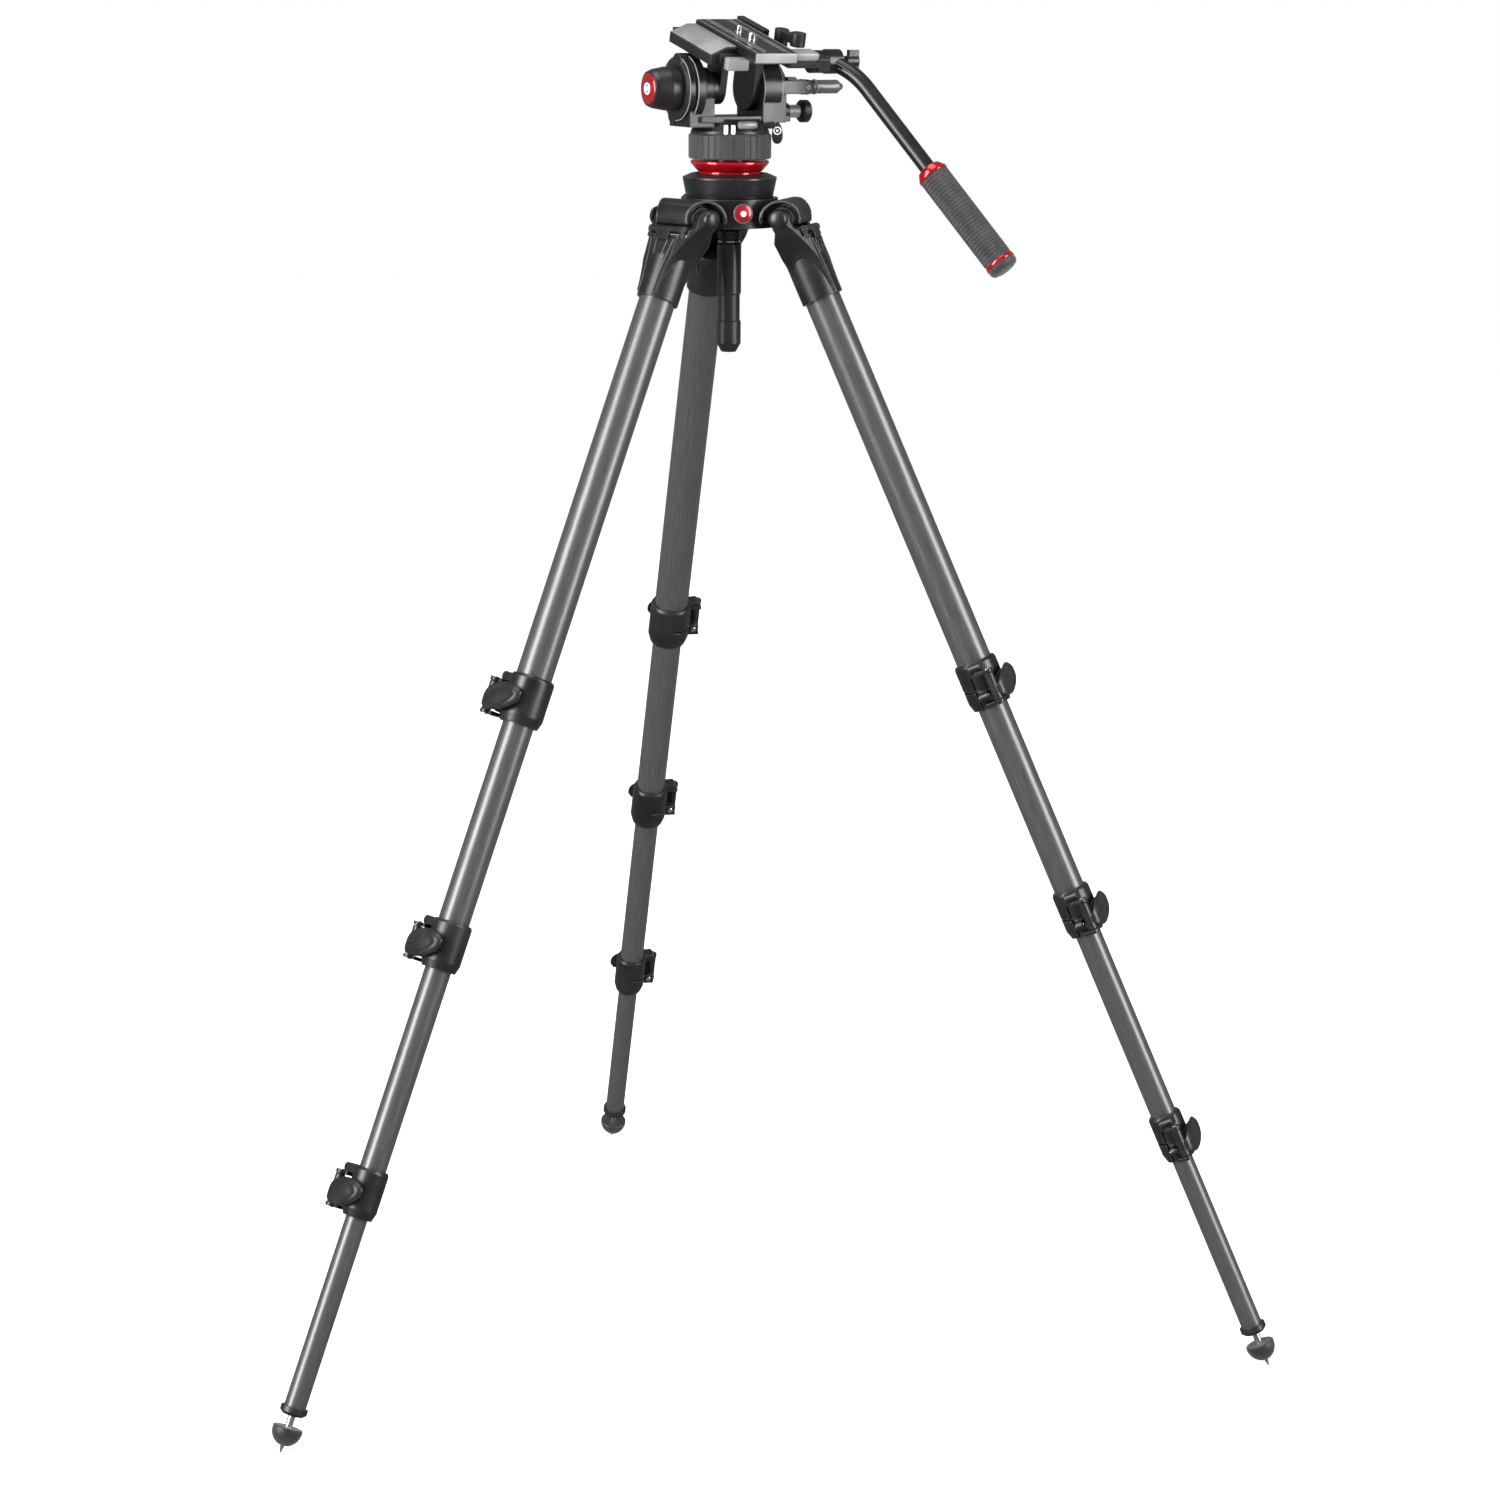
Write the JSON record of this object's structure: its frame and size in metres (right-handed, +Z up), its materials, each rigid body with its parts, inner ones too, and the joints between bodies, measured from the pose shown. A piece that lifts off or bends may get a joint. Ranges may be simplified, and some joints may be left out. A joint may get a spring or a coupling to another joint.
{
  "type": "video tripod with fluid head",
  "caption": "Telescopic-leg video tripod with a levelling bowl, a pan-and-tilt fluid head, a sliding camera plate and an angled pan bar.",
  "frame": {"origin": "on the floor, on the vertical axis that the legs stand round, level with the spike tips", "axes": "+Z up; +Y away from the side that the first and second legs face; the head at rest looks 28 degrees to the left of +Y"},
  "size_m": [1.0685, 1.0578, 1.4457],
  "materials": {
    "black_casting": "satin black powder coat",
    "machined_black": "black anodised, satin",
    "carbon_tube": "satin carbon-fibre weave",
    "black_plastic": "fine-textured moulded plastic",
    "red_anodised": "glossy red anodised",
    "ribbed_rubber": "ribbed matt rubber",
    "foot_rubber": "matt moulded rubber",
    "steel": "turned bright steel"
  },
  "bodies": {
    "base": {"spider": "black_casting", "bowl": "machined_black", "hinge_pins": "steel"},
    "leg1_upper": {"leg1_fork": "black_casting", "leg1_tube_1": "carbon_tube", "leg1_clamp_1": "black_casting"},
    "leg1_middle_1": {"leg1_tube_2": "carbon_tube", "leg1_clamp_2": "black_casting"},
    "leg1_middle_2": {"leg1_tube_3": "carbon_tube", "leg1_clamp_3": "black_casting"},
    "leg1_lower": {"leg1_tube_4": "carbon_tube", "leg1_spike": "steel"},
    "leg1_rubber_foot": {"leg1_foot": "foot_rubber"},
    "leg1_catch": {"leg1_angle_catch": "black_casting"},
    "leg1_clamp_lever_1": {"leg1_lever_1": "black_plastic"},
    "leg1_clamp_lever_2": {"leg1_lever_2": "black_plastic"},
    "leg1_clamp_lever_3": {"leg1_lever_3": "black_plastic"},
    "leg2_upper": {"leg2_fork": "black_casting", "leg2_tube_1": "carbon_tube", "leg2_clamp_1": "black_casting"},
    "leg2_middle_1": {"leg2_tube_2": "carbon_tube", "leg2_clamp_2": "black_casting"},
    "leg2_middle_2": {"leg2_tube_3": "carbon_tube", "leg2_clamp_3": "black_casting"},
    "leg2_lower": {"leg2_tube_4": "carbon_tube", "leg2_spike": "steel"},
    "leg2_rubber_foot": {"leg2_foot": "foot_rubber"},
    "leg2_catch": {"leg2_angle_catch": "black_casting"},
    "leg2_clamp_lever_1": {"leg2_lever_1": "black_plastic"},
    "leg2_clamp_lever_2": {"leg2_lever_2": "black_plastic"},
    "leg2_clamp_lever_3": {"leg2_lever_3": "black_plastic"},
    "leg3_upper": {"leg3_fork": "black_casting", "leg3_tube_1": "carbon_tube", "leg3_clamp_1": "black_casting"},
    "leg3_middle_1": {"leg3_tube_2": "carbon_tube", "leg3_clamp_2": "black_casting"},
    "leg3_middle_2": {"leg3_tube_3": "carbon_tube", "leg3_clamp_3": "black_casting"},
    "leg3_lower": {"leg3_tube_4": "carbon_tube", "leg3_spike": "steel"},
    "leg3_rubber_foot": {"leg3_foot": "foot_rubber"},
    "leg3_catch": {"leg3_angle_catch": "black_casting"},
    "leg3_clamp_lever_1": {"leg3_lever_1": "black_plastic"},
    "leg3_clamp_lever_2": {"leg3_lever_2": "black_plastic"},
    "leg3_clamp_lever_3": {"leg3_lever_3": "black_plastic"},
    "half_ball_group": {"half_ball": "machined_black", "accent_ring": "red_anodised"},
    "tie_down": {"tie_down_handle": "black_plastic"},
    "pan_drag": {"drag_drum": "ribbed_rubber"},
    "pan_head": {"pan_base": "black_casting"},
    "pan_lock": {"pan_lock_knob": "black_plastic"},
    "tilt_drag": {"tilt_drag_knob": "black_plastic"},
    "tilt_lock": {"tilt_lock_lever": "machined_black"},
    "carriage": {"tilt_body": "black_casting"},
    "plate": {"sliding_plate": "machined_black", "camera_screws": "steel"},
    "plate_lock": {"plate_lock_lever": "black_plastic"},
    "bar": {"pan_bar": "machined_black", "pan_bar_grip": "ribbed_rubber"},
    "bar_knob": {"pan_bar_clamp": "black_plastic"}
  },
  "joints": [
    {"name": "leg1_spread", "type": "hinge", "parent": "base", "child": "leg1_upper", "pos_m": [-0.04741, -0.04563, 1.23623], "axis": [-0.6934, 0.7206, 0], "range_deg": [-24, 45]},
    {"name": "leg1_slide_1", "type": "slide", "parent": "leg1_upper", "child": "leg1_middle_1", "axis": [-0.2975, -0.2863, -0.9108], "range_m": [-0.215, 0.19]},
    {"name": "leg1_slide_2", "type": "slide", "parent": "leg1_middle_1", "child": "leg1_middle_2", "axis": [-0.2975, -0.2863, -0.9108], "range_m": [-0.215, 0.19]},
    {"name": "leg1_slide_3", "type": "slide", "parent": "leg1_middle_2", "child": "leg1_lower", "axis": [-0.2975, -0.2863, -0.9108], "range_m": [-0.2, 0.19]},
    {"name": "leg1_foot_screw", "type": "slide", "parent": "leg1_lower", "child": "leg1_rubber_foot", "axis": [-0.2975, -0.2863, -0.9108], "range_m": [-0.01, 0.01]},
    {"name": "leg1_clamp_1_flip", "type": "hinge", "parent": "leg1_upper", "child": "leg1_clamp_lever_1", "pos_m": [-0.24646, -0.1886, 0.74726], "axis": [-0.2975, -0.2863, -0.9108], "range_deg": [0, 110]},
    {"name": "leg1_clamp_2_flip", "type": "hinge", "parent": "leg1_middle_1", "child": "leg1_clamp_lever_2", "pos_m": [-0.32302, -0.26589, 0.5011], "axis": [-0.2975, -0.2863, -0.9108], "range_deg": [0, 110]},
    {"name": "leg1_clamp_3_flip", "type": "hinge", "parent": "leg1_middle_2", "child": "leg1_clamp_lever_3", "pos_m": [-0.3995, -0.34309, 0.25521], "axis": [-0.2975, -0.2863, -0.9108], "range_deg": [0, 110]},
    {"name": "leg1_catch_pull", "type": "hinge", "parent": "leg1_upper", "child": "leg1_catch", "pos_m": [-0.06452, -0.06209, 1.22503], "axis": [-0.6934, 0.7206, 0], "range_deg": [0, 30], "stiffness_Nm_per_rad": 0.05, "springref_deg": -17.19},
    {"name": "leg2_spread", "type": "hinge", "parent": "base", "child": "leg2_upper", "pos_m": [0.06322, -0.01825, 1.23623], "axis": [-0.2773, -0.9608, 0], "range_deg": [-24, 45]},
    {"name": "leg2_slide_1", "type": "slide", "parent": "leg2_upper", "child": "leg2_middle_1", "axis": [0.3967, -0.1145, -0.9108], "range_m": [-0.215, 0.19]},
    {"name": "leg2_slide_2", "type": "slide", "parent": "leg2_middle_1", "child": "leg2_middle_2", "axis": [0.3967, -0.1145, -0.9108], "range_m": [-0.215, 0.19]},
    {"name": "leg2_slide_3", "type": "slide", "parent": "leg2_middle_2", "child": "leg2_lower", "axis": [0.3967, -0.1145, -0.9108], "range_m": [-0.2, 0.19]},
    {"name": "leg2_foot_screw", "type": "slide", "parent": "leg2_lower", "child": "leg2_rubber_foot", "axis": [0.3967, -0.1145, -0.9108], "range_m": [-0.01, 0.01]},
    {"name": "leg2_clamp_1_flip", "type": "hinge", "parent": "leg2_upper", "child": "leg2_clamp_lever_1", "pos_m": [0.28657, -0.11914, 0.74726], "axis": [0.3967, -0.1145, -0.9108], "range_deg": [0, 110]},
    {"name": "leg2_clamp_2_flip", "type": "hinge", "parent": "leg2_middle_1", "child": "leg2_clamp_lever_2", "pos_m": [0.39178, -0.1468, 0.5011], "axis": [0.3967, -0.1145, -0.9108], "range_deg": [0, 110]},
    {"name": "leg2_clamp_3_flip", "type": "hinge", "parent": "leg2_middle_2", "child": "leg2_clamp_lever_3", "pos_m": [0.49687, -0.17443, 0.25521], "axis": [0.3967, -0.1145, -0.9108], "range_deg": [0, 110]},
    {"name": "leg2_catch_pull", "type": "hinge", "parent": "leg2_upper", "child": "leg2_catch", "pos_m": [0.08603, -0.02483, 1.22503], "axis": [-0.2773, -0.9608, 0], "range_deg": [0, 30], "stiffness_Nm_per_rad": 0.05, "springref_deg": -17.19},
    {"name": "leg3_spread", "type": "hinge", "parent": "base", "child": "leg3_upper", "pos_m": [-0.01581, 0.06387, 1.23623], "axis": [0.9707, 0.2402, 0], "range_deg": [-24, 45]},
    {"name": "leg3_slide_1", "type": "slide", "parent": "leg3_upper", "child": "leg3_middle_1", "axis": [-0.0992, 0.4009, -0.9108], "range_m": [-0.215, 0.19]},
    {"name": "leg3_slide_2", "type": "slide", "parent": "leg3_middle_1", "child": "leg3_middle_2", "axis": [-0.0992, 0.4009, -0.9108], "range_m": [-0.215, 0.19]},
    {"name": "leg3_slide_3", "type": "slide", "parent": "leg3_middle_2", "child": "leg3_lower", "axis": [-0.0992, 0.4009, -0.9108], "range_m": [-0.2, 0.19]},
    {"name": "leg3_foot_screw", "type": "slide", "parent": "leg3_lower", "child": "leg3_rubber_foot", "axis": [-0.0992, 0.4009, -0.9108], "range_m": [-0.01, 0.01]},
    {"name": "leg3_clamp_1_flip", "type": "hinge", "parent": "leg3_upper", "child": "leg3_clamp_lever_1", "pos_m": [-0.0401, 0.30774, 0.74726], "axis": [-0.0992, 0.4009, -0.9108], "range_deg": [0, 110]},
    {"name": "leg3_clamp_2_flip", "type": "hinge", "parent": "leg3_middle_1", "child": "leg3_clamp_lever_2", "pos_m": [-0.06875, 0.41269, 0.5011], "axis": [-0.0992, 0.4009, -0.9108], "range_deg": [0, 110]},
    {"name": "leg3_clamp_3_flip", "type": "hinge", "parent": "leg3_middle_2", "child": "leg3_clamp_lever_3", "pos_m": [-0.09737, 0.51752, 0.25521], "axis": [-0.0992, 0.4009, -0.9108], "range_deg": [0, 110]},
    {"name": "leg3_catch_pull", "type": "hinge", "parent": "leg3_upper", "child": "leg3_catch", "pos_m": [-0.02151, 0.08692, 1.22503], "axis": [0.9707, 0.2402, 0], "range_deg": [0, 30], "stiffness_Nm_per_rad": 0.05, "springref_deg": -17.19},
    {"name": "ball_level", "type": "hinge", "parent": "base", "child": "half_ball_group", "pos_m": [0, 0, 1.27743], "axis": [0.8829, 0.4695, 0], "range_deg": [-6, 6]},
    {"name": "tie_down_turn", "type": "hinge", "parent": "half_ball_group", "child": "tie_down", "pos_m": [0, 0, 1.27743], "axis": [0, 0, 1], "continuous": true},
    {"name": "pan_drag_turn", "type": "hinge", "parent": "half_ball_group", "child": "pan_drag", "pos_m": [0, 0, 1.27743], "axis": [0, 0, 1], "range_deg": [-60, 60]},
    {"name": "pan", "type": "hinge", "parent": "half_ball_group", "child": "pan_head", "pos_m": [0, 0, 1.27743], "axis": [0, 0, 1], "continuous": true},
    {"name": "pan_lock_turn", "type": "hinge", "parent": "pan_head", "child": "pan_lock", "pos_m": [0.06032, 0.02075, 1.346], "axis": [0.8829, 0.4695, 0], "range_deg": [-120, 120]},
    {"name": "tilt", "type": "hinge", "parent": "pan_head", "child": "carriage", "pos_m": [0, 0, 1.371], "axis": [0.8829, 0.4695, 0], "range_deg": [-83.3, 56.7]},
    {"name": "tilt_drag_turn", "type": "hinge", "parent": "pan_head", "child": "tilt_drag", "pos_m": [-0.05863, -0.03117, 1.371], "axis": [-0.8829, -0.4695, 0], "range_deg": [-150, 150]},
    {"name": "tilt_lock_swing", "type": "hinge", "parent": "pan_head", "child": "tilt_lock", "pos_m": [0.07835, 0.01878, 1.372], "axis": [0.4695, -0.8829, 0], "range_deg": [-20, 70]},
    {"name": "plate_slide", "type": "slide", "parent": "carriage", "child": "plate", "axis": [-0.4569, 0.8593, 0.23], "range_m": [-0.02, 0.05]},
    {"name": "plate_lock_swing", "type": "hinge", "parent": "carriage", "child": "plate_lock", "pos_m": [0.05285, -0.00036, 1.41644], "axis": [0.108, -0.2031, 0.9732], "range_deg": [0, 60]},
    {"name": "bar_angle", "type": "hinge", "parent": "carriage", "child": "bar", "pos_m": [0.10647, -0.00002, 1.3995], "axis": [0.8829, 0.4695, 0], "range_deg": [-60, 60]},
    {"name": "bar_knob_turn", "type": "hinge", "parent": "bar", "child": "bar_knob", "pos_m": [0.12766, 0.01125, 1.3995], "axis": [0.8829, 0.4695, 0], "continuous": true}
  ]
}
